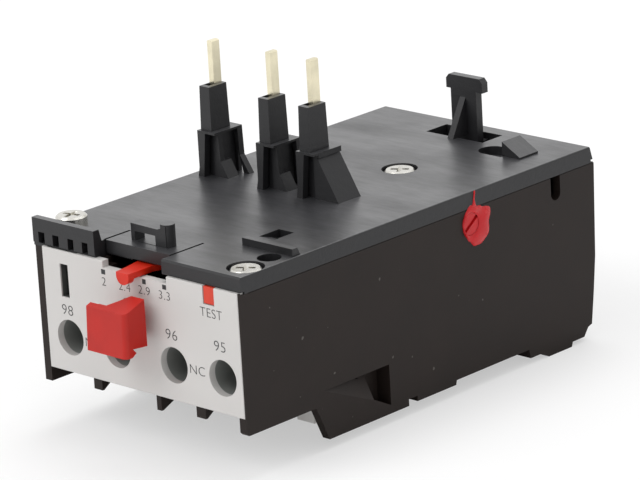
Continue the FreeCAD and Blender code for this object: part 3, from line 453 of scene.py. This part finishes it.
class RELAY_OT_controls(bpy.types.Operator):
    """Give the button, the lever and the test tab their reds"""
    bl_idname = "relay.controls"
    bl_label = "Finish controls"

    def execute(self, context):
        colours = context.scene.relay_colours
        dress(["reset_button"], clear_red("relay_reset", colours.button, 0.4))
        dress(["adjuster_lever"], clear_red("relay_lever", colours.lever, 0.34))
        dress(["test_slide"], clear_red("relay_tab", colours.tab, 0.38))
        dress(["trip_flag"], plain_moulding("relay_flag", (0.06, 0.064, 0.06), 0.5))
        return {"FINISHED"}


class RELAY_OT_metals(bpy.types.Operator):
    """Give pins, screws, clamps, strips and springs their metals"""
    bl_idname = "relay.metals"
    bl_label = "Finish metals"

    def execute(self, context):
        colours = context.scene.relay_colours
        nodes = sorted(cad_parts)
        brass = metal("relay_tinned_brass", colours.brass, 0.3, (1.0, 1.0, 0.06))
        nickel = metal("relay_nickel", colours.nickel, 0.24, (1.0, 1.0, 1.0))
        zinc = metal("relay_zinc", (0.55, 0.55, 0.53), 0.36, (0.1, 1.0, 1.0))
        strip = metal("relay_bimetal", (0.47, 0.45, 0.41), 0.34, (1.0, 0.05, 1.0))
        heater = metal("relay_heater", (0.30, 0.26, 0.22), 0.45, (1.0, 0.3, 1.0))
        bronze = metal("relay_bronze", (0.72, 0.47, 0.27), 0.3, (0.1, 1.0, 1.0))
        wire = metal("relay_spring_wire", (0.5, 0.5, 0.5), 0.28, (1.0, 1.0, 1.0))
        dress([n for n in nodes if n.startswith(("line_pin", "aux_terminal", "load_terminal"))], brass)
        dress([n for n in nodes if "screw" in n and n != "calibration_screw"], nickel)
        dress([n for n in nodes if "_clamp_" in n], zinc)
        dress([n for n in nodes if n.startswith(("bimetal", "compensator"))], strip)
        dress([n for n in nodes if n.startswith("heater")], heater)
        dress(["nc_bridge", "no_bridge"], bronze)
        dress(["reset_spring", "test_spring"], wire)
        return {"FINISHED"}


class RELAY_OT_inner_mouldings(bpy.types.Operator):
    """Give the sliders, the trip lever and the carrier their cream plastic"""
    bl_idname = "relay.inner_mouldings"
    bl_label = "Finish inner mouldings"

    def execute(self, context):
        cream = plain_moulding("relay_cream", (0.62, 0.57, 0.43), 0.5)
        dress(["trip_slider", "differential_slider", "trip_lever", "contact_carrier"], cream)
        return {"FINISHED"}


class RELAY_OT_lacquer(bpy.types.Operator):
    """Run sealing lacquer round the calibration screw and up to the cover's edge"""
    bl_idname = "relay.lacquer"
    bl_label = "Seal calibration screw"

    def execute(self, context):
        colours = context.scene.relay_colours
        low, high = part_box("calibration_screw")
        hub_y = (low.y + high.y) / 2
        hub_z = (low.z + high.z) / 2
        hole = (high.z - low.z) / 2 - 0.1 * MM
        deselect()
        bpy.ops.mesh.primitive_torus_add(major_segments=90, minor_segments=12,
                                         major_radius=2.0, minor_radius=1.0)
        film = bpy.context.object
        bpy.ops.object.mode_set(mode="EDIT")
        mesh = bmesh.from_edit_mesh(film.data)
        for point in mesh.verts:
            turn = math.atan2(point.co.x, point.co.y) % math.tau
            out = math.hypot(point.co.x, point.co.y) - 2.0
            step = turn / math.tau * len(LACQUER_REACH)
            first = int(step) % len(LACQUER_REACH)
            after = (first + 1) % len(LACQUER_REACH)
            part = step - int(step)
            part = part * part * (3 - 2 * part)
            edge = (LACQUER_REACH[first] * MM * (1 - part) + LACQUER_REACH[after] * MM * part)
            radius = hole + (edge - hole) * (out + 1) / 2
            swell = 0.3 + 0.1 * math.sin(5 * turn)
            height = max(point.co.z, 0.0) * swell * MM
            point.co = (WALL_X + height + LIFT, hub_y + radius * math.sin(turn),
                        hub_z + radius * math.cos(turn))
        bmesh.update_edit_mesh(film.data)
        bpy.ops.mesh.select_all(action="SELECT")
        bpy.ops.mesh.normals_make_consistent(inside=False)
        bpy.ops.object.mode_set(mode="OBJECT")

        deselect()
        bpy.ops.mesh.primitive_cylinder_add(vertices=16, radius=1.0, depth=2.0)
        thread = bpy.context.object
        bpy.ops.object.mode_set(mode="EDIT")
        bpy.ops.mesh.select_all(action="SELECT")
        bpy.ops.mesh.subdivide(number_cuts=5)
        mesh = bmesh.from_edit_mesh(thread.data)
        foot = hub_z + 2.6 * MM
        for point in mesh.verts:
            rise = (point.co.z + 1) / 2
            half = (0.16 + 0.6 * (1 - rise) ** 5) * MM
            centre = hub_y + (0.75 + 0.3 * rise + 0.05 * math.sin(9 * rise)) * MM
            point.co = (WALL_X + max(point.co.x, 0.0) * 0.16 * MM + LIFT,
                        centre + point.co.y * half, foot + (COVER_EDGE - foot) * rise)
        bmesh.update_edit_mesh(thread.data)
        bpy.ops.mesh.select_all(action="SELECT")
        bpy.ops.mesh.normals_make_consistent(inside=False)
        bpy.ops.object.mode_set(mode="OBJECT")
        whole = join_pieces([film, thread], "lacquer_run")
        settle(whole)
        bpy.ops.object.shade_smooth_by_angle(angle=math.radians(50))
        red = clear_red("relay_lacquer", colours.lacquer, 0.26)
        finish_piece(whole, "base", red)
        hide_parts("sealing_lacquer")
        dress(["calibration_screw"], clear_red("relay_painted_screw", colours.lacquer, 0.32))
        return {"FINISHED"}


class RELAY_OT_printing(bpy.types.Operator):
    """Print the terminal numbers, words and current scale on the front plate"""
    bl_idname = "relay.printing"
    bl_label = "Print front plate"

    def execute(self, context):
        sizes = context.scene.relay_printing
        colours = context.scene.relay_colours
        heights = {"number": sizes.number_height, "word": sizes.word_height,
                   "narrow_word": sizes.word_height, "scale": sizes.scale_height}
        face = PLATE_LOW.y - sizes.film * 0.5
        pieces = []
        for body, kind, x, z in PRINTING:
            width = NARROW_LETTERS if kind == "narrow_word" else WIDE_LETTERS
            centre = (RELAY_LEFT + x * MM, face, PLATE_LOW.z + z * MM)
            pieces.append(word(body, heights[kind], sizes.film, centre, width))
        for x0, x1, z0, z1 in MARKS:
            deselect()
            bpy.ops.mesh.primitive_cube_add(
                size=1.0, location=(RELAY_LEFT + (x0 + x1) / 2 * MM, face,
                                    PLATE_LOW.z + (z0 + z1) / 2 * MM),
                scale=((x1 - x0) * MM, sizes.film * 2, (z1 - z0) * MM))
            mark = bpy.context.object
            settle(mark, mark.matrix_world.copy())
            bevel = mark.modifiers.new("corners", "BEVEL")
            bevel.width = 0.06 * MM
            bpy.ops.object.modifier_apply(modifier=bevel.name)
            pieces.append(mark)
        ink = plain_moulding("relay_ink", colours.print_ink, 0.6)
        finish_piece(join_pieces(pieces, "plate_printing"), "base", ink)
        return {"FINISHED"}


class RELAY_OT_studio(bpy.types.Operator):
    """Set the floor, the even room light, the lamps and the camera"""
    bl_idname = "relay.studio"
    bl_label = "Set studio"

    def execute(self, context):
        studio = context.scene.relay_studio
        scene = context.scene
        deselect()
        bpy.ops.mesh.primitive_plane_add(size=6.0, location=(0, 0, 0))
        floor = bpy.context.object
        floor.name = "floor"
        paper = Finish("relay_floor", (0.93, 0.93, 0.93), 0.9)
        path = paper.node("ShaderNodeLightPath")
        seen = Value(paper.tree, path.outputs["Is Camera Ray"])
        glow = paper.node("ShaderNodeEmission", Color=(1.0, 1.0, 1.0, 1.0), Strength=1.0)
        both = paper.node("ShaderNodeMixShader", i0=seen * 0.5, i1=paper.shader.outputs[0],
                          i2=glow.outputs[0])
        target = paper.tree.nodes["Material Output"].inputs["Surface"]
        paper.tree.links.new(both.outputs[0], target)
        floor.data.materials.append(paper.material)

        world = scene.world or bpy.data.worlds.new("studio")
        scene.world = world
        world.use_nodes = True
        tree = world.node_tree
        tree.nodes.clear()
        out = tree.nodes.new("ShaderNodeOutputWorld")
        back = tree.nodes.new("ShaderNodeBackground")
        back.inputs["Color"].default_value = (1.0, 1.0, 1.0, 1.0)
        path = tree.nodes.new("ShaderNodeLightPath")
        camera_ray = Value(tree, path.outputs["Is Camera Ray"])
        glossy_ray = Value(tree, path.outputs["Is Glossy Ray"])
        through_ray = Value(tree, path.outputs["Is Transmission Ray"])
        seen = (camera_ray + glossy_ray + through_ray).clamp()
        strength = seen + (1 - seen) * studio.room
        tree.links.new(strength.socket, back.inputs["Strength"])
        tree.links.new(back.outputs[0], out.inputs[0])

        for name, place, size, energy in LAMPS:
            data = bpy.data.lights.new(name, "AREA")
            data.size = size
            data.energy = energy
            lamp = bpy.data.objects.new(name, data)
            scene.collection.objects.link(lamp)
            lamp.location = place
            aim = Vector((0, 0, 0.02)) - Vector(place)
            lamp.rotation_euler = aim.to_track_quat("-Z", "Y").to_euler()

        camera_data = bpy.data.cameras.new("camera")
        camera_data.sensor_width = 36.0
        camera_data.lens = studio.lens
        camera_data.clip_start = 0.05
        camera_data.clip_end = 20.0
        camera = bpy.data.objects.new("camera", camera_data)
        scene.collection.objects.link(camera)
        camera.location = studio.eye
        camera.rotation_euler = studio.turn
        scene.camera = camera
        scene.view_settings.view_transform = "Standard"
        return {"FINISHED"}


class RELAY_PT_panel(bpy.types.Panel):
    """Buttons for each group of pieces"""
    bl_label = "Thermal overload relay"
    bl_idname = "RELAY_PT_panel"
    bl_space_type = "VIEW_3D"
    bl_region_type = "UI"
    bl_category = "Relay"

    def draw(self, context):
        for operator in STEPS:
            self.layout.operator(operator.bl_idname)
        for group in ("relay_colours", "relay_printing", "relay_studio"):
            settings = getattr(context.scene, group)
            column = self.layout.column()
            for key in settings.__annotations__:
                column.prop(settings, key)


STEPS = (RELAY_OT_housing, RELAY_OT_controls, RELAY_OT_metals, RELAY_OT_inner_mouldings,
         RELAY_OT_lacquer, RELAY_OT_printing, RELAY_OT_studio)
CLASSES = (RelayColours, RelayPrinting, RelayStudio) + STEPS + (RELAY_PT_panel,)


def register():
    for cls in CLASSES:
        bpy.utils.register_class(cls)
    bpy.types.Scene.relay_colours = bpy.props.PointerProperty(type=RelayColours)
    bpy.types.Scene.relay_printing = bpy.props.PointerProperty(type=RelayPrinting)
    bpy.types.Scene.relay_studio = bpy.props.PointerProperty(type=RelayStudio)


def unregister():
    del bpy.types.Scene.relay_colours
    del bpy.types.Scene.relay_printing
    del bpy.types.Scene.relay_studio
    for cls in reversed(CLASSES):
        bpy.utils.unregister_class(cls)


def main():
    register()
    bpy.ops.relay.housing()
    bpy.ops.relay.controls()
    bpy.ops.relay.metals()
    bpy.ops.relay.inner_mouldings()
    bpy.ops.relay.lacquer()
    bpy.ops.relay.printing()
    bpy.ops.relay.studio()


if __name__ == "__main__":
    main()
